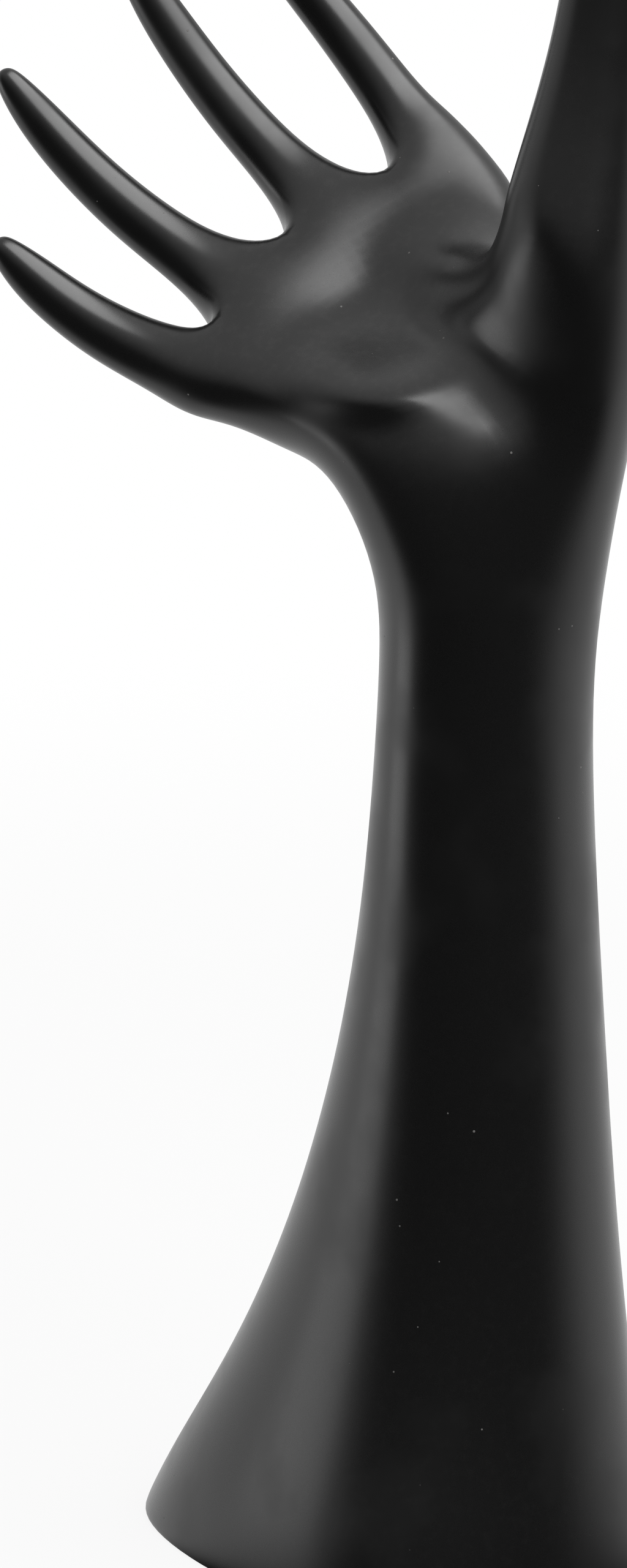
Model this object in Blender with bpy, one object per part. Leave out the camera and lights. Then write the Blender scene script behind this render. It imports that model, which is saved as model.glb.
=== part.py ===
"""Hand jewelry stand: one black moulding of a right hand on a forearm that flares into an oval foot.

The stand is a coarse cage of quads that a Subdivision Surface rounds. The forearm and the palm are
a loft of twelve-point rings. Each finger grows out of the last palm ring, and the thumb out of a
patch on the palm's thumb side. Metres, +Z up, origin in the middle of the foot's flat underside,
-Y the inner side of the forearm, +X the thumb side.
"""
from collections import namedtuple
from math import copysign, cos, pi, radians, sin

import bmesh
import bpy
from mathutils import Matrix, Vector

# Foot and forearm
FOOT_LENGTH = 0.134                # along Y
FOOT_WIDTH = 0.101                 # along X
FOOT_SQUARENESS = 2.7              # 2 is an ellipse, more is a rounded rectangle
FOOT_EDGE = 0.0014                 # rounding at the bottom edge
WRIST_WIDTH = 0.0505
WRIST_DEPTH = 0.0415
WRIST_SQUARENESS = 2.1
WRIST_HEIGHT = 0.215
WRIST_ASIDE = 0.0072               # the wrist's middle from the foot's middle, along X
WRIST_FORWARD = 0.0228             # and along -Y

# Share of the wrist's height, then how much of the foot's spread and of its offset is left there
FLARE = (
    (0.080, 0.885, 0.87),
    (0.180, 0.690, 0.66),
    (0.300, 0.500, 0.44),
    (0.440, 0.328, 0.25),
    (0.600, 0.185, 0.10),
    (0.780, 0.070, 0.02),
    (1.000, 0.000, 0.00),
)

# The hand's attitude: which way the palm faces, how far it looks up, and the fingers' slant in it
PALM_TURN = radians(35)            # from -Y towards -X
PALM_TILT = radians(37)
FINGER_SLANT = radians(35)
PALM_START = 0.027                 # the hand's axes start this far above the wrist
PALM_FORWARD = 0.010               # and this far in front of its middle

# The palm's rings. Along and thumb_along are how far along the hand a ring lies on the little finger's
# and on the thumb's side, turn how far it has turned to face as the palm does, tilt and thumb_tilt how
# far its two sides have tilted with the palm, and fall how much of the knuckles' arc it follows.
PalmRing = namedtuple(
    "PalmRing", "along thumb_along aside half_width half_thick hollow ridge turn tilt thumb_tilt fall"
)
CARPUS = PalmRing(0.003, 0.003, 0.0032, 0.0273, 0.0210, 0.000, 0.000, 0.20, 0.10, 0.00, 0.5)
HEEL = PalmRing(0.033, 0.032, 0.0065, 0.0305, 0.0185, -0.006, 0.002, 0.85, 0.65, 0.05, 0.0)
MID_PALM = PalmRing(0.052, 0.040, 0.0155, 0.0360, 0.0145, 0.007, 0.005, 1.00, 1.00, 1.00, 0.1)
KNUCKLES = PalmRing(0.070, 0.068, 0.0168, 0.0437, 0.0115, 0.005, 0.004, 1.00, 1.00, 1.00, 0.4)
THUMB_PATCH = radians(18)          # how far the face's columns crowd to the little finger's side
HOLLOW_SHARES = {3: 1.0, 4: 1.0}            # by column, across the palm's face
RIDGE_SHARES = {1: 1.0, 2: 0.8}             # the ridge runs from the heel to the little finger
PALM_SQUARENESS = 2.5
KNUCKLE_ARC = 0.009                # how far the row of knuckles falls away to the little finger
ARC_PEAK = 0.035                   # where the row reaches furthest, to the thumb side

# The row where the fingers part
WEB_ALONG = 0.0945
WEB_SIDES = (-0.036, -0.0165, 0.010, 0.0385, 0.0668)
WEB_HALF_THICK = 0.0085
WEB_DIPS = (0.0, 0.0, 0.0, 0.0035, 0.0)    # how far each lies behind the arc
WEB_NOTCH = 0.003                  # how much deeper a web is in its middle
EDGE_INSET = 0.0045                # rounding of the hand's two outer edges there

Finger = namedtuple("Finger", "length splay lift root tip")
FINGERS = (
    Finger(0.059, (-37, -15), (-5, 33), 0.0175, 0.0098),
    Finger(0.081, (-27, -7), (1, 33), 0.0160, 0.0100),
    Finger(0.087, (-11, 0), (-2, 35), 0.0155, 0.0100),
    Finger(0.079, (7, -17), (3, 33), 0.0155, 0.0100),
)
FINGER_STATIONS = (0.17, 0.38, 0.60, 0.80, 0.94)
TIP_TAPER = 0.72                   # width of the last station against the tip's full width
FINGER_FLATNESS = 0.94             # thickness against width

# The thumb's rings: height above the palm's start, to the side and away from the palm's face
ThumbRing = namedtuple("ThumbRing", "up aside back half_width half_depth")
THUMB = (
    ThumbRing(0.057, 0.0165, -0.0005, 0.0190, 0.0195),
    ThumbRing(0.080, 0.0194, 0.0010, 0.0160, 0.0155),
    ThumbRing(0.100, 0.0226, 0.0020, 0.0130, 0.0122),
    ThumbRing(0.119, 0.0250, 0.0025, 0.0106, 0.0100),
    ThumbRing(0.137, 0.0262, 0.0025, 0.0092, 0.0086),
    ThumbRing(0.1475, 0.0266, 0.0025, 0.0058, 0.0054),
)

SMOOTHING = 2
COLUMNS = 12                       # points in a forearm or palm ring
FRONT = 5                          # of them across the palm's face, and as many across its back
BODY_COLOUR = (0.008, 0.008, 0.009)
ROUGHNESS = 0.28


def clear_scene():
    for obj in list(bpy.data.objects):
        bpy.data.objects.remove(obj)


def mix(low, high, share):
    return low + (high - low) * share


def fill_of(count):
    """How much of a cage ring's size is left once a ring of this many points is smoothed."""
    return (4 + 2 * cos(2 * pi / count)) / 6


def rounded(angle, half_x, half_y, squareness):
    """A point on an oval that goes from an ellipse to a rounded rectangle."""
    power = 2 / squareness
    x = copysign(abs(cos(angle)) ** power, cos(angle))
    y = copysign(abs(sin(angle)) ** power, sin(angle))
    return x * half_x, y * half_y


def column_angle(column):
    """Column 0 is the little finger's side, 1 to 5 cross the palm's face, 6 is the thumb's side."""
    return pi - column * 2 * pi / COLUMNS


class Axes:
    """A place with a thumb-side axis, an axis out of the palm's face and one along the hand."""

    def __init__(self, origin, aside, out):
        self.origin = Vector(origin)
        self.aside = Vector(aside).normalized()
        self.along = Vector(out).cross(self.aside).normalized()
        self.out = self.aside.cross(self.along).normalized()

    def at(self, aside, out, along=0.0):
        return self.origin + self.aside * aside + self.out * out + self.along * along


def arm_axes():
    return Axes((WRIST_ASIDE, -WRIST_FORWARD, WRIST_HEIGHT + PALM_START), (1, 0, 0), (0, -1, 0))


def facing_axes():
    """Level axes that look the way the palm faces, at the palm's start."""
    out = Matrix.Rotation(-PALM_TURN, 3, "Z") @ Vector((0, -1, 0))
    aside = Matrix.Rotation(-PALM_TURN, 3, "Z") @ Vector((1, 0, 0))
    return Axes(arm_axes().origin + out * PALM_FORWARD, aside, out)


def hand_axes():
    level = facing_axes()
    out = level.out * cos(PALM_TILT) + Vector((0, 0, 1)) * sin(PALM_TILT)
    slope = out.cross(level.aside)
    aside = level.aside * cos(FINGER_SLANT) + slope * sin(FINGER_SLANT)
    return Axes(level.origin, aside, out)


def between(first, second, share):
    """Axes part of the way from the first to the second."""
    return Axes(
        first.origin.lerp(second.origin, share),
        first.aside.lerp(second.aside, share),
        first.out.lerp(second.out, share),
    )


def palm_axes(turn, tilt):
    """The forearm's axes turned and tilted part of the way to the hand's."""
    return between(between(arm_axes(), facing_axes(), turn), hand_axes(), tilt)


def arm_ring(height, spread, offset, grow=0.0):
    """One level ring of the forearm; grow adds to its half sizes."""
    fill = fill_of(COLUMNS)
    half_x = mix(WRIST_WIDTH, FOOT_WIDTH, spread) / 2 / fill + grow
    half_y = mix(WRIST_DEPTH, FOOT_LENGTH, spread) / 2 / fill + grow
    squareness = mix(WRIST_SQUARENESS, FOOT_SQUARENESS, spread)
    middle = Vector((WRIST_ASIDE, -WRIST_FORWARD, 0)) * (1 - offset)
    points = []
    for column in range(COLUMNS):
        x, out = rounded(column_angle(column), half_x, half_y, squareness)
        points.append(middle + Vector((x, -out, height)))
    return points


def knuckle_fall(aside, share):
    """How far back the row of knuckles lies at this place across the hand."""
    reach = (aside - ARC_PEAK) / KNUCKLES.half_width
    return KNUCKLE_ARC * share * reach * reach


def palm_ring(ring):
    """One ring of the palm, hollowed across its face and raised on the little finger's side."""
    fill = fill_of(COLUMNS)
    points = []
    for column in range(COLUMNS):
        angle = column_angle(column)
        angle += THUMB_PATCH * (1 - ring.fall) * max(sin(angle), 0.0)
        thumb_share = (1 + cos(angle)) / 2
        axes = palm_axes(ring.turn, mix(ring.tilt, ring.thumb_tilt, thumb_share))
        along = mix(ring.along, ring.thumb_along, thumb_share)
        aside, out = rounded(angle, ring.half_width / fill, ring.half_thick / fill, PALM_SQUARENESS)
        aside += ring.aside
        out += ring.ridge * RIDGE_SHARES.get(column, 0.0)
        out -= ring.hollow * HOLLOW_SHARES.get(column, 0.0)
        points.append(axes.at(aside, out, along - knuckle_fall(aside, ring.fall)))
    return points


def web_columns():
    """The row where the fingers part: for each of its five columns, the face, middle and back."""
    hand = hand_axes()
    half_thick = WEB_HALF_THICK / fill_of(6)
    columns = []
    for number, aside in enumerate(WEB_SIDES):
        along = WEB_ALONG - knuckle_fall(aside, 1.0) - WEB_DIPS[number]
        outer = number in (0, FRONT - 1)
        inset = copysign(EDGE_INSET, -aside) if outer else 0.0
        middle_along = along if outer else along - WEB_NOTCH
        columns.append((
            hand.at(aside + inset, half_thick, along),
            hand.at(aside, 0.0, middle_along),
            hand.at(aside + inset, -half_thick, along),
        ))
    return columns


def finger_rings(finger, root_points):
    """Six-point rings along a finger that bends evenly, from the middle of its root."""
    hand = hand_axes()
    middle = sum(root_points, Vector()) / len(root_points)
    fill = fill_of(6)
    rings = []
    steps = 40
    place = middle.copy()
    wanted = list(FINGER_STATIONS) + [1.0]
    for step in range(1, steps + 1):
        share = step / steps
        splay = radians(mix(*finger.splay, share))
        lift = radians(mix(*finger.lift, share))
        flat = hand.along * cos(splay) + hand.aside * sin(splay)
        heading = flat * cos(lift) + hand.out * sin(lift)
        place = place + heading * finger.length / steps
        if share + 1e-6 < wanted[0]:
            continue
        taper = wanted.pop(0)
        out = hand.out * cos(lift) - flat * sin(lift)
        axes = Axes(place, heading.cross(out), out)
        width = mix(finger.root, finger.tip, min(taper, 1.0))
        if taper >= FINGER_STATIONS[-1]:
            width *= TIP_TAPER if taper < 1 else TIP_TAPER * 0.55
        half = width / 2 / fill
        angles = [2 * pi / 3, pi / 3, 0, -pi / 3, -2 * pi / 3, pi]
        rings.append([axes.at(cos(a) * half, sin(a) * half * FINGER_FLATNESS) for a in angles])
    return rings


def thumb_rings():
    """Eight-point rings up the thumb, starting at the side that looks the way the palm faces."""
    level = facing_axes()
    fill = fill_of(8)
    up = Vector((0, 0, 1))
    middles = [level.origin + level.aside * r.aside - level.out * r.back + up * r.up for r in THUMB]
    rings = []
    for number, ring in enumerate(THUMB):
        before = middles[max(number - 1, 0)]
        after = middles[min(number + 1, len(middles) - 1)]
        heading = (after - before).normalized()
        aside = (level.aside - heading * level.aside.dot(heading)).normalized()
        back = heading.cross(aside)
        points = []
        for corner in range(8):
            angle = -pi / 2 + corner * pi / 4
            points.append(
                middles[number]
                + aside * (cos(angle) * ring.half_width / fill)
                + back * (sin(angle) * ring.half_depth / fill)
            )
        rings.append(points)
    return rings


def add_ring(bm, points):
    return [bm.verts.new(point) for point in points]


def bridge(bm, lower, upper, skip=()):
    """Quads between two rings that have as many points, leaving out the numbered ones."""
    count = len(lower)
    for number in range(count):
        if number in skip:
            continue
        other = (number + 1) % count
        bm.faces.new((lower[number], lower[other], upper[other], upper[number]))


def add_fingers(bm, knuckle_ring):
    """The web row on the last palm ring, and the four fingers on it."""
    columns = [add_ring(bm, column) for column in web_columns()]
    face = [column[0] for column in columns]
    back = [column[2] for column in columns]
    row = [columns[0][1]] + face + [columns[-1][1]] + back[::-1]
    bridge(bm, knuckle_ring, row)
    for number, finger in enumerate(FINGERS):
        near, far = columns[number], columns[number + 1]
        root = [near[0], far[0], far[1], far[2], near[2], near[1]]
        ring = root
        for points in finger_rings(finger, [vert.co for vert in root]):
            following = add_ring(bm, points)
            bridge(bm, ring, following)
            ring = following
        bm.faces.new((ring[5], ring[0], ring[1], ring[2]))
        bm.faces.new((ring[2], ring[3], ring[4], ring[5]))


def add_thumb(bm, heel, mid, knuckle):
    """The thumb, on the open patch that the palm leaves between three of its rings."""
    ring = [heel[4], heel[5], heel[6], mid[6], knuckle[6], knuckle[5], knuckle[4], mid[4]]
    for points in thumb_rings():
        following = add_ring(bm, points)
        bridge(bm, ring, following)
        ring = following
    centre = bm.verts.new(sum((vert.co for vert in ring), Vector()) / len(ring))
    for corner in range(0, 8, 2):
        bm.faces.new((ring[corner], ring[corner + 1], ring[(corner + 2) % 8], centre))


def add_forearm(bm):
    """The foot's flat underside with its rounded edge, and the forearm up to the wrist."""
    under = add_ring(bm, arm_ring(0.0, 1.0, 1.0, -FOOT_EDGE))
    rim = add_ring(bm, arm_ring(0.0, 1.0, 1.0))
    side = add_ring(bm, arm_ring(FOOT_EDGE, 1.0, 1.0))
    bridge(bm, under, rim)
    bridge(bm, rim, side)
    for column in range(1, FRONT):
        other = COLUMNS - column
        bm.faces.new((under[column + 1], under[column], under[other], under[other - 1]))
    bm.faces.new((under[1], under[0], under[-1]))
    bm.faces.new((under[7], under[6], under[5]))
    ring = side
    for share, spread, offset in FLARE:
        following = add_ring(bm, arm_ring(share * WRIST_HEIGHT, spread, offset))
        bridge(bm, ring, following)
        ring = following
    return ring


def build_cage(bm):
    wrist = add_forearm(bm)
    carpus = add_ring(bm, palm_ring(CARPUS))
    heel = add_ring(bm, palm_ring(HEEL))
    mid = add_ring(bm, palm_ring(MID_PALM))
    knuckle = add_ring(bm, palm_ring(KNUCKLES))
    bridge(bm, wrist, carpus)
    bridge(bm, carpus, heel)
    bridge(bm, heel, mid, skip=(4, 5))
    bridge(bm, mid, knuckle, skip=(4, 5))
    add_fingers(bm, knuckle)
    add_thumb(bm, heel, mid, knuckle)


def black_plastic():
    material = bpy.data.materials.new("satin_black")
    material.use_nodes = True
    shader = material.node_tree.nodes["Principled BSDF"]
    shader.inputs["Base Color"].default_value = (*BODY_COLOUR, 1)
    shader.inputs["Roughness"].default_value = ROUGHNESS
    shader.inputs["Metallic"].default_value = 0.0
    return material


def make_hand():
    bm = bmesh.new()
    build_cage(bm)
    bmesh.ops.recalc_face_normals(bm, faces=bm.faces)
    mesh = bpy.data.meshes.new("hand_form")
    bm.to_mesh(mesh)
    bm.free()
    mesh.shade_smooth()
    hand = bpy.data.objects.new("hand_form", mesh)
    hand.data.materials.append(black_plastic())
    bpy.context.collection.objects.link(hand)
    smooth = hand.modifiers.new("smooth", "SUBSURF")
    smooth.levels = SMOOTHING
    smooth.render_levels = SMOOTHING
    return hand


clear_scene()
make_hand()
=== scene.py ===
"""Looks of a hand jewelry stand: its satin black moulding and the studio it stands in.

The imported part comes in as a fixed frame. The moulding's surface is taken from it and put back
into quads, soft strokes push the palm's finer forms into it, and one more rounding smooths it. It
gets a procedural finish and rides on the part's one body. Everything is in metres, with +Z up and
the foot's flat underside on the floor.
"""

import heapq
from math import cos, radians, sin
from typing import NamedTuple

import bmesh
import bpy
from bpy.props import FloatProperty, FloatVectorProperty, IntProperty, PointerProperty
from bpy.types import Operator, Panel, PropertyGroup
from mathutils import Euler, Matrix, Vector


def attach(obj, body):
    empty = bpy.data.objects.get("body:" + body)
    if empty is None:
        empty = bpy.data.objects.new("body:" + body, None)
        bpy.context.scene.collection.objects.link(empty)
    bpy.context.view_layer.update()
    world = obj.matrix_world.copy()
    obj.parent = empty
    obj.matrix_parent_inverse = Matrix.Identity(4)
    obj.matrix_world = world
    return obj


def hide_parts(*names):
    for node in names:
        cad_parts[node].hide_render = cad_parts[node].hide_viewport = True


bl_info = {
    "name": "Hand Stand Looks",
    "version": (1, 0, 0),
    "blender": (4, 5, 0),
    "location": "3D View > Sidebar > Hand Stand",
    "description": "Gives the hand jewelry stand its satin black finish and a plain studio",
    "category": "Object",
}

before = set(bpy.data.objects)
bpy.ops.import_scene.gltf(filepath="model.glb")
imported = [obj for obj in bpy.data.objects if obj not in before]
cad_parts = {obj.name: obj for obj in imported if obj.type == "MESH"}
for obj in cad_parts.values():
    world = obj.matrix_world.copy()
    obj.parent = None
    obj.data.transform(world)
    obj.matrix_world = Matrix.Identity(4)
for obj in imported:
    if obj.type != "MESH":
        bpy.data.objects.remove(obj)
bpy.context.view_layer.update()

NODE = "hand_form"
UP = (0, 0, 1)
WHITE = (1, 1, 1, 1)

WELD = 0.000001                   # frame corners that are nearer than this are one
NO_GOING_ON = 9.0                 # the cost of a quad that shares its side crookedly
NEW_START = 10.0                  # the least cost of a quad that doesn't go on from another
EVENING = 0.5                     # the share of the way to the neighbours' middle, each round

PLASTIC_IOR = 1.49
SMUDGE_SIZE = 0.030               # the size of the lumps in each of the finish's noises
WAVE_SIZE = 0.011
FILM_SIZE = 0.0022
GRAIN_SIZE = 0.0007
SMUDGE_EDGE = (0.48, 0.68)        # where the noise starts to be a smudge and is all smudge
FILM_EDGE = (0.45, 0.75)          # the same for the film
UPWARD_EDGE = (-0.1, 0.9)         # the same for the way up that film settles on, as a sine
FILM_COVER = 0.04                 # how much of the dust's colour the film has
GRAIN_ROUGHNESS = 0.03            # how much the finest texture changes the roughness
SPECK_COVER = 0.9                 # how much of the dust's colour a speck has
SPECK_ROUGHNESS = 0.4             # how much rougher a speck is than the plastic
SPECK_HEIGHT = 0.00004
SPECK_SHARE = 0.22                # the share of the patches that hold a speck
SMALLEST_SPECK = 0.5              # the smallest speck's radius, as a share of the set one
SPECK_SPREAD = 0.8                # how much larger the largest one is, in the same share
SPECK_CORE = 0.6                  # the share of a speck's radius that is all dust

MIDDLE = Vector((0.0, 0.0, 0.2))  # what the lamps point at
LAMP_POWER = 4                    # watts to the square metre of a panel as bright as white
REAR_EDGE = (-0.55, 0.10)         # where the pale rear starts and is full, as a cosine
CEILING_EDGE = (0.0, 0.95)        # where the ceiling starts and is full, as a sine
FLOOR_REACH = 8.0                 # from the middle of the floor to each side
FLOOR_DROP = 0.0002               # how far the floor lies under the foot
FLOOR_GLOW = 0.90                 # how much of the floor's white shows no shadow near the foot
SHADOW_FADE = 0.3                 # how far from the foot's middle the shadow starts to fade
SHADOW_REACH = 1.2                # how far from the foot's middle the floor is all white
SENSOR_WIDTH = 36.0               # in mm

PALM_ACROSS = Vector((0.8192, -0.5736, 0.0))    # towards the thumb
PALM_OUT = Vector((-0.5736, -0.8192, 0.0))      # the way that the palm faces


class Stroke(NamedTuple):
    """One soft push on the moulding: its spot, how far it reaches and how far it moves the
    surface across the palm, out of the palm and up, and how often it is then evened out."""
    spot: tuple
    reach: tuple
    move: tuple
    rounds: int


STROKES = {
    "thumb_web": Stroke((0.0130, -0.0020, 0.3050), (0.015, 0.024, 0.019), (0, 0.013, 0), 60),
    "thumb_root": Stroke((0.0038, -0.0340, 0.2970), (0.017, 0.026, 0.024), (-0.004, 0.006, 0), 24),
    "palm_valley": Stroke((0.0065, -0.0156, 0.2973), (0.013, 0.022, 0.016), (0, 0.010, 0), 12),
    "little_mound": Stroke((-0.0090, -0.0059, 0.2823), (0.027, 0.036, 0.0125), (0, 0.016, 0), 2),
    "index_edge": Stroke((0.0336, 0.0184, 0.3314), (0.010, 0.012, 0.012), (-0.0015, 0, 0), 3),
}


class Softbox(NamedTuple):
    """A lit panel: where it stands, seen from the object, and its size. Azimuth 0 is on the
    camera's side, and a larger one is further round to the picture's right."""
    azimuth: float
    elevation: float
    distance: float
    width: float
    height: float


OVERHEAD = Softbox(radians(62), radians(56), 1.4, 1.6, 0.96)
SIDE_PANEL = Softbox(radians(-92), radians(-4), 0.8, 0.34, 0.26)


class MouldingLooks(PropertyGroup):
    """Sizes and colours of the moulding's surface."""

    rounding: IntProperty(
        name="Rounding", description="Subdivision steps on the moulding", default=1, min=0, max=2
    )
    black: FloatVectorProperty(
        name="Black", description="Colour of the plastic", subtype="COLOR", size=3,
        default=(0.0030, 0.0030, 0.0030), min=0, max=1
    )
    dust: FloatVectorProperty(
        name="Dust", description="Colour of the dust specks", subtype="COLOR", size=3,
        default=(0.16, 0.155, 0.15), min=0, max=1
    )
    roughness: FloatProperty(
        name="Roughness", description="Roughness of the clean plastic", default=0.27, min=0, max=1
    )
    smudge: FloatProperty(
        name="Smudges", description="Extra roughness where it was handled", default=0.10,
        min=0, max=1
    )
    speck: FloatProperty(
        name="Speck", description="Radius of a dust speck", default=0.00026, min=0, unit="LENGTH"
    )
    speck_gap: FloatProperty(
        name="Speck gap", description="Width of the patch that may hold one speck",
        default=0.0042, min=0.001, unit="LENGTH"
    )
    waviness: FloatProperty(
        name="Waviness", description="Height of the moulding's slow unevenness",
        default=0.000012, min=0, unit="LENGTH"
    )
    grain: FloatProperty(
        name="Grain", description="Height of the finest texture", default=0.0000003,
        min=0, unit="LENGTH"
    )


class StudioLooks(PropertyGroup):
    """The camera, the lamps and the floor."""

    camera_place: FloatVectorProperty(
        name="Camera", description="Where the camera stands", subtype="TRANSLATION",
        unit="LENGTH", size=3, default=(-0.6846, -0.9423, 0.430)
    )
    camera_pitch: FloatProperty(
        name="Pitch", description="How far the camera looks down", subtype="ANGLE",
        default=radians(11.9)
    )
    camera_turn: FloatProperty(
        name="Turn", description="Which way the camera looks, from +Y towards -X",
        subtype="ANGLE", default=radians(-35.0)
    )
    lens: FloatProperty(
        name="Lens", description="Focal length on a 36 mm sensor, in mm", default=117.14, min=1
    )
    overhead: FloatProperty(
        name="Overhead", description="Brightness of the softbox at the upper right",
        default=4.6, min=0
    )
    side: FloatProperty(
        name="Side", description="Brightness of the low panel at the left", default=1.2, min=0
    )
    rear: FloatProperty(
        name="Rear", description="Brightness of the pale room behind", default=0.72, min=0
    )
    front: FloatProperty(
        name="Front", description="Brightness of the dark room in front", default=0.09, min=0
    )
    ceiling: FloatProperty(
        name="Ceiling", description="Brightness of the room overhead", default=1.0, min=0
    )
    floor: FloatVectorProperty(
        name="Floor", description="Colour of the floor", subtype="COLOR", size=3,
        default=(0.92, 0.92, 0.92), min=0, max=1
    )


class Value:
    """One number that a shader works out, used in plain arithmetic."""

    def __init__(self, nodes, socket):
        self.nodes = nodes
        self.socket = socket

    def __add__(self, other):
        return self.nodes.maths("ADD", self, other)

    def __sub__(self, other):
        return self.nodes.maths("SUBTRACT", self, other)

    def __mul__(self, other):
        return self.nodes.maths("MULTIPLY", self, other)

    def __truediv__(self, other):
        return self.nodes.maths("DIVIDE", self, other)

    def __gt__(self, other):
        return self.nodes.maths("GREATER_THAN", self, other)

    def __rsub__(self, other):
        return self.nodes.maths("SUBTRACT", other, self)

    def __rtruediv__(self, other):
        return self.nodes.maths("DIVIDE", other, self)

    def __lt__(self, other):
        return self.nodes.maths("LESS_THAN", self, other)

    __radd__ = __add__
    __rmul__ = __mul__


class Nodes:
    """Adds nodes to one empty tree."""

    def __init__(self, tree):
        self.tree = tree
        tree.nodes.clear()

    def add(self, kind, settings=None, inputs=None, output=0):
        """One node: its settings first, then its sockets, by name or number."""
        node = self.tree.nodes.new(kind)
        for name, setting in (settings or {}).items():
            setattr(node, name, setting)
        for name, given in (inputs or {}).items():
            if isinstance(given, Value):
                self.tree.links.new(given.socket, node.inputs[name])
            else:
                node.inputs[name].default_value = given
        return Value(self, node.outputs[output]) if len(node.outputs) else node

    def maths(self, operation, first, second=0.0):
        return self.add("ShaderNodeMath", {"operation": operation}, {0: first, 1: second})

    def step(self, value, low, high, to_low=0.0, to_high=1.0):
        """Goes smoothly from to_low to to_high as the value goes from low to high."""
        settings = {"interpolation_type": "SMOOTHSTEP"}
        ends = {0: value, 1: low, 2: high, 3: to_low, 4: to_high}
        return self.add("ShaderNodeMapRange", settings, ends)

    def dot(self, vector, other):
        settings = {"operation": "DOT_PRODUCT"}
        return self.add("ShaderNodeVectorMath", settings, {0: vector, 1: other}, "Value")

    def length(self, vector):
        settings = {"operation": "LENGTH"}
        return self.add("ShaderNodeVectorMath", settings, {0: vector}, "Value")

    def direction(self, vector):
        """The same way, one metre long."""
        return self.add("ShaderNodeVectorMath", {"operation": "NORMALIZE"}, {0: vector})

    def noise(self, place, size, detail):
        """Even noise from 0 to 1 whose lumps are about this size."""
        inputs = {"Vector": place, "Scale": 1 / size, "Detail": detail}
        return self.add("ShaderNodeTexNoise", None, inputs)

    def mix_colour(self, share, first, second):
        settings = {"data_type": "RGBA"}
        return self.add("ShaderNodeMix", settings, {0: share, 6: first, 7: second}, 2)

    def mix_shader(self, share, first, second):
        return self.add("ShaderNodeMixShader", None, {0: share, 1: first, 2: second})

    def gloss(self):
        """1 for what a gloss or a clear piece sees."""
        gloss = self.add("ShaderNodeLightPath", output="Is Glossy Ray")
        clear = self.add("ShaderNodeLightPath", output="Is Transmission Ray")
        return self.maths("MINIMUM", gloss + clear, 1.0)

    def seen(self, to_gloss):
        """1 for the camera, this share for gloss and clear pieces, 0 for soft light."""
        camera = self.add("ShaderNodeLightPath", output="Is Camera Ray")
        return self.maths("MINIMUM", camera + self.gloss() * to_gloss, 1.0)


def specks(nodes, place, gap, radius):
    """A mask of scattered round specks, one in some of the patches and none in the others."""
    inputs = {"Vector": place, "Scale": 1 / gap}
    distance = nodes.add("ShaderNodeTexVoronoi", None, inputs, "Distance")
    patch = nodes.add("ShaderNodeTexVoronoi", None, inputs, "Color")
    lot = nodes.add("ShaderNodeSeparateColor", None, {0: patch}, "Red")
    size = nodes.add("ShaderNodeSeparateColor", None, {0: patch}, "Green")
    reach = (size * SPECK_SPREAD + SMALLEST_SPECK) * (radius / gap)
    inside = nodes.step(distance / reach, SPECK_CORE, 1.0, 1.0, 0.0)
    return inside * (lot > 1 - SPECK_SHARE)


def satin_black(looks):
    """Black gloss plastic with a satin skin, faint handling marks and a little dust."""
    material = bpy.data.materials.new("satin_black")
    material.use_nodes = True
    nodes = Nodes(material.node_tree)
    place = nodes.add("ShaderNodeTexCoord", output="Object")
    facing = nodes.add("ShaderNodeTexCoord", output="Normal")
    upward = nodes.step(nodes.dot(facing, UP), *UPWARD_EDGE)

    handled = nodes.step(nodes.noise(place, SMUDGE_SIZE, detail=3.0), *SMUDGE_EDGE)
    grain = nodes.noise(place, GRAIN_SIZE, detail=2.0)
    waves = nodes.noise(place, WAVE_SIZE, detail=1.0)
    dusty = specks(nodes, place, looks.speck_gap, looks.speck)
    film = nodes.step(nodes.noise(place, FILM_SIZE, detail=4.0), *FILM_EDGE) * upward

    covered = film * FILM_COVER + dusty * SPECK_COVER
    colour = nodes.mix_colour(covered, (*looks.black, 1), (*looks.dust, 1))
    roughness = looks.roughness + handled * looks.smudge
    roughness += (grain - 0.5) * GRAIN_ROUGHNESS + dusty * SPECK_ROUGHNESS
    height = waves * looks.waviness + grain * looks.grain + dusty * SPECK_HEIGHT
    bump = nodes.add("ShaderNodeBump", None, {"Height": height, "Distance": 1.0})
    shader = nodes.add("ShaderNodeBsdfPrincipled", None, {
        "Base Color": colour, "Roughness": roughness, "Normal": bump, "IOR": PLASTIC_IOR,
    })
    nodes.add("ShaderNodeOutputMaterial", None, {"Surface": shader})
    return material


def quad_across(triangle, edge):
    """The quad that two triangles make across their shared edge, as corners in order."""
    other = next(face for face in edge.link_faces if face is not triangle)
    first, second = edge.verts
    near = next(vert for vert in triangle.verts if vert not in edge.verts)
    far = next(vert for vert in other.verts if vert not in edge.verts)
    return near, first, far, second


def skew(corners):
    """How far a quad's corners are from square ones."""
    worst = 0.0
    for number, corner in enumerate(corners):
        one = (corners[number - 1].co - corner.co).normalized()
        two = (corners[(number + 1) % 4].co - corner.co).normalized()
        worst = max(worst, abs(one.dot(two)))
    return worst


def off_edge(corners, vert, edge):
    """The corners of a quad that are next to one of its corners and not on an edge."""
    spot = corners.index(vert)
    beside = (corners[spot - 1], corners[(spot + 1) % 4])
    return [corner for corner in beside if corner not in edge.verts]


def bend(known, corners, edge):
    """How far the sides of a new quad turn away from those of the quad it goes on from, across
    the edge that they share."""
    total = 0.0
    for vert in edge.verts:
        if vert not in corners:
            return NO_GOING_ON
        before = off_edge(known, vert, edge)
        after = off_edge(corners, vert, edge)
        if len(after) != 1:
            return NO_GOING_ON
        into = (vert.co - before[0].co).normalized()
        onward = (after[0].co - vert.co).normalized()
        total += 1 - into.dot(onward)
    return total


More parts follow.
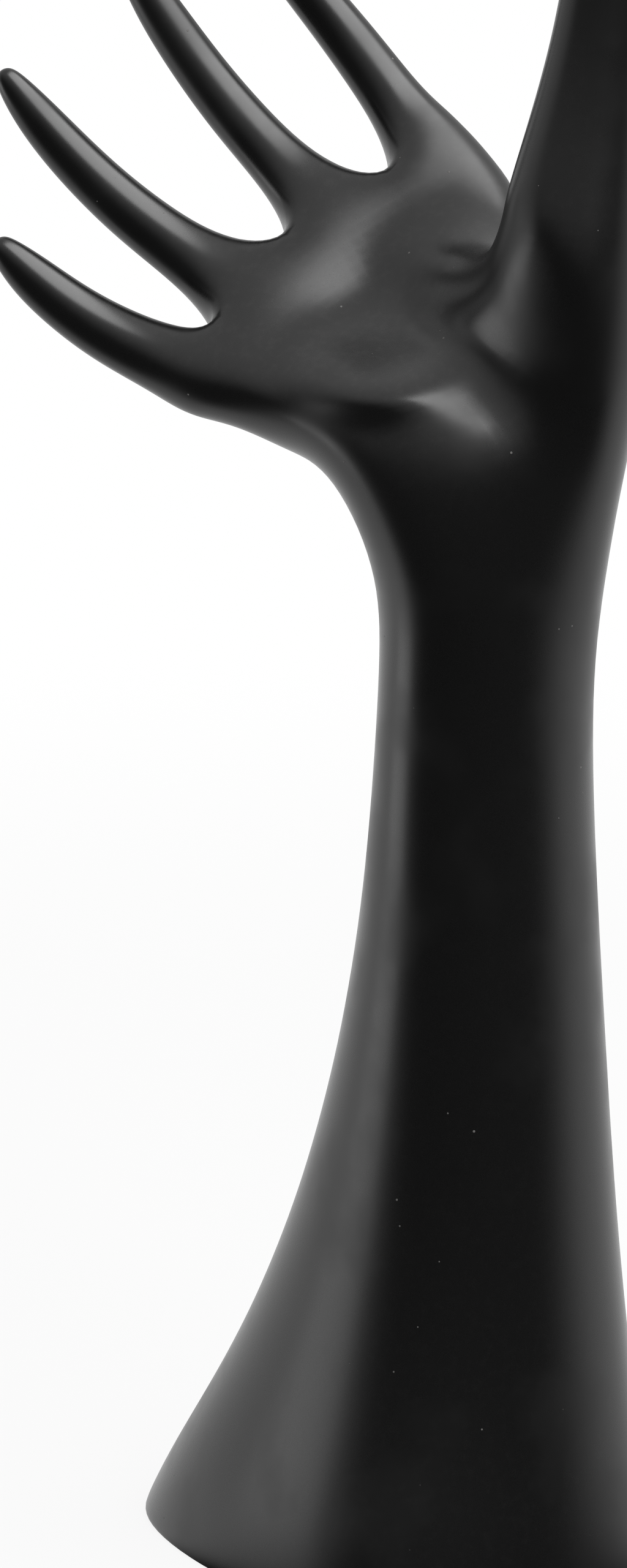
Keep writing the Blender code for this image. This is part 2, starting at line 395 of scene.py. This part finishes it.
def next_quads(edge, joined):
    """The ways to go on from the quad across an edge: the side that it shares with the next quad,
    the free triangle beyond that side, and the diagonal of the next quad."""
    for face in edge.link_faces:
        for side in face.edges:
            if side is edge:
                continue
            beyond = next(other for other in side.link_faces if other is not face)
            if beyond in joined:
                continue
            for diagonal in beyond.edges:
                if diagonal is not side and not joined.intersection(diagonal.link_faces):
                    yield side, beyond, diagonal


def quad_edges(bm):
    """The diagonals whose removal turns the frame's triangles back into its quads.

    It starts at the squarest quad and goes on from each quad to the neighbours whose sides run
    on straightest, so that the rows of quads carry on across the whole surface.
    """
    heap = []
    for edge in bm.edges:
        corners = quad_across(edge.link_faces[0], edge)
        heap.append((NEW_START + skew(corners), edge.index, edge))
    heapq.heapify(heap)
    count = len(heap)
    joined = set()
    diagonals = []
    while heap:
        edge = heapq.heappop(heap)[2]
        if joined.intersection(edge.link_faces):
            continue
        joined.update(edge.link_faces)
        diagonals.append(edge)
        known = quad_across(edge.link_faces[0], edge)
        for side, beyond, diagonal in next_quads(edge, joined):
            count += 1
            cost = bend(known, quad_across(beyond, diagonal), side)
            heapq.heappush(heap, (cost, count, diagonal))
    return diagonals


def sculpt(bm):
    """Pushes the palm's finer forms into the quads and evens each one out."""
    for stroke in STROKES.values():
        across, out, up = stroke.move
        push = PALM_ACROSS * across + PALM_OUT * out + Vector((0, 0, up))
        moved = []
        for vert in bm.verts:
            away = vert.co - Vector(stroke.spot)
            parts = (away.dot(PALM_ACROSS), away.dot(PALM_OUT), away.z)
            nearness = 1 - sum((part / reach) ** 2 for part, reach in zip(parts, stroke.reach))
            if nearness > 0:
                vert.co += push * nearness ** 2
                moved.append(vert)
        for _ in range(stroke.rounds):
            bmesh.ops.smooth_vert(
                bm, verts=moved, factor=EVENING, use_axis_x=True, use_axis_y=True, use_axis_z=True
            )


def moulding_mesh():
    """The frame's moulding as quads, with the palm's finer forms in them."""
    bm = bmesh.new()
    bm.from_mesh(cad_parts[NODE].data)
    bmesh.ops.remove_doubles(bm, verts=bm.verts, dist=WELD)
    if any(len(edge.link_faces) != 2 for edge in bm.edges):
        raise RuntimeError("the frame's moulding isn't one closed surface")
    bmesh.ops.dissolve_edges(bm, edges=quad_edges(bm), use_verts=False)
    bmesh.ops.recalc_face_normals(bm, faces=bm.faces)
    sculpt(bm)
    mesh = bpy.data.meshes.new("moulding")
    bm.to_mesh(mesh)
    bm.free()
    mesh.shade_smooth()
    return mesh


class HANDSTAND_OT_moulding(Operator):
    """Lay a smooth satin black skin over the frame's moulding"""

    bl_idname = "handstand.moulding"
    bl_label = "Moulding"

    def execute(self, context):
        looks = context.scene.handstand_moulding
        mesh = moulding_mesh()
        mesh.materials.append(satin_black(looks))
        moulding = bpy.data.objects.new("moulding", mesh)
        context.scene.collection.objects.link(moulding)
        rounding = moulding.modifiers.new("rounding", "SUBSURF")
        rounding.levels = looks.rounding
        rounding.render_levels = looks.rounding
        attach(moulding, "root")
        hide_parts(NODE)
        return {"FINISHED"}


def from_object(azimuth, elevation, distance):
    """A place round the object; azimuth 0 is on the -Y side and 90 on the +X side."""
    level = cos(elevation)
    way = Vector((sin(azimuth) * level, -cos(azimuth) * level, sin(elevation)))
    return MIDDLE + way * distance


def light_softbox(scene, name, box, turn, brightness):
    """Puts up one softbox, which faces the object and isn't seen itself."""
    lamp = bpy.data.lights.new(name, "AREA")
    lamp.shape = "RECTANGLE"
    lamp.size = box.width
    lamp.size_y = box.height
    lamp.energy = LAMP_POWER * box.width * box.height * brightness
    panel = bpy.data.objects.new(name, lamp)
    panel.location = from_object(turn + box.azimuth, box.elevation, box.distance)
    panel.rotation_euler = (panel.location - MIDDLE).to_track_quat("Z", "Y").to_euler()
    panel.visible_camera = False
    scene.collection.objects.link(panel)


def behind(nodes, way, looks):
    """1 for what lies behind the object and 0 for what lies in front."""
    rear = (-sin(looks.camera_turn), cos(looks.camera_turn), 0.0)
    return nodes.step(nodes.dot(way, rear), *REAR_EDGE)


def surround_world(looks):
    """A room that gloss sees pale behind and overhead and dark in front. The camera sees it
    white, and it gives soft light only as the dark room in front does."""
    world = bpy.data.worlds.new("surround")
    world.use_nodes = True
    nodes = Nodes(world.node_tree)
    way = nodes.add("ShaderNodeTexCoord", output="Generated")
    rear = behind(nodes, way, looks) * looks.rear
    ceiling = nodes.step(nodes.dot(way, UP), *CEILING_EDGE, looks.front, looks.ceiling)
    room = nodes.maths("MAXIMUM", rear, ceiling)
    strength = nodes.maths("MAXIMUM", nodes.seen(room), looks.front)
    light = nodes.add("ShaderNodeBackground", None, {"Color": WHITE, "Strength": strength})
    nodes.add("ShaderNodeOutputWorld", None, {"Surface": light})
    return world


def pale_floor(looks):
    """White for the camera, with the object's shadow; gloss sees it dark in front."""
    material = bpy.data.materials.new("pale_floor")
    material.use_nodes = True
    nodes = Nodes(material.node_tree)
    place = nodes.add("ShaderNodeTexCoord", output="Object")
    rear = behind(nodes, nodes.direction(place), looks)
    lit = nodes.add("ShaderNodeBsdfDiffuse", None, {"Color": (*looks.floor, 1)})
    white = nodes.add("ShaderNodeEmission", None, {"Color": WHITE, "Strength": 1.0})
    dark = nodes.add("ShaderNodeEmission", None, {"Color": WHITE, "Strength": looks.front})
    away = nodes.length(place)
    glow = nodes.seen(rear) * nodes.step(away, SHADOW_FADE, SHADOW_REACH, FLOOR_GLOW, 1.0)
    floor = nodes.mix_shader(glow, lit, white)
    floor = nodes.mix_shader(nodes.gloss() * (1 - rear), floor, dark)
    nodes.add("ShaderNodeOutputMaterial", None, {"Surface": floor})
    return material


def lay_floor(scene, looks):
    """The floor, a hair below the foot."""
    bm = bmesh.new()
    bmesh.ops.create_grid(bm, x_segments=1, y_segments=1, size=FLOOR_REACH)
    mesh = bpy.data.meshes.new("floor")
    bm.to_mesh(mesh)
    bm.free()
    mesh.materials.append(pale_floor(looks))
    floor = bpy.data.objects.new("floor", mesh)
    floor.location.z = -FLOOR_DROP
    scene.collection.objects.link(floor)


def set_camera(scene, looks):
    """The camera, from the photo's side of the object."""
    camera = bpy.data.objects.new("camera", bpy.data.cameras.new("camera"))
    camera.data.sensor_width = SENSOR_WIDTH
    camera.data.lens = looks.lens
    camera.location = looks.camera_place
    camera.rotation_euler = Euler((radians(90) - looks.camera_pitch, 0.0, looks.camera_turn))
    scene.collection.objects.link(camera)
    scene.camera = camera


class HANDSTAND_OT_studio(Operator):
    """Put up the floor, the lamps, the pale surround and the camera"""

    bl_idname = "handstand.studio"
    bl_label = "Studio"

    def execute(self, context):
        looks = context.scene.handstand_studio
        scene = context.scene
        lay_floor(scene, looks)
        light_softbox(scene, "overhead", OVERHEAD, looks.camera_turn, looks.overhead)
        light_softbox(scene, "side_panel", SIDE_PANEL, looks.camera_turn, looks.side)
        scene.world = surround_world(looks)
        set_camera(scene, looks)
        scene.view_settings.view_transform = "Standard"
        return {"FINISHED"}


class HANDSTAND_PT_panel(Panel):
    """The stand's pieces and their settings"""

    bl_idname = "HANDSTAND_PT_panel"
    bl_label = "Hand Stand"
    bl_space_type = "VIEW_3D"
    bl_region_type = "UI"
    bl_category = "Hand Stand"

    def draw(self, context):
        groups = (
            (context.scene.handstand_moulding, "handstand.moulding"),
            (context.scene.handstand_studio, "handstand.studio"),
        )
        for looks, operator in groups:
            box = self.layout.box()
            for name in looks.__annotations__:
                box.prop(looks, name)
            box.operator(operator)


CLASSES = (
    MouldingLooks,
    StudioLooks,
    HANDSTAND_OT_moulding,
    HANDSTAND_OT_studio,
    HANDSTAND_PT_panel,
)


def register():
    for cls in CLASSES:
        bpy.utils.register_class(cls)
    bpy.types.Scene.handstand_moulding = PointerProperty(type=MouldingLooks)
    bpy.types.Scene.handstand_studio = PointerProperty(type=StudioLooks)


def unregister():
    del bpy.types.Scene.handstand_studio
    del bpy.types.Scene.handstand_moulding
    for cls in reversed(CLASSES):
        bpy.utils.unregister_class(cls)


def main():
    register()
    bpy.ops.handstand.moulding()
    bpy.ops.handstand.studio()


if __name__ == "__main__":
    main()
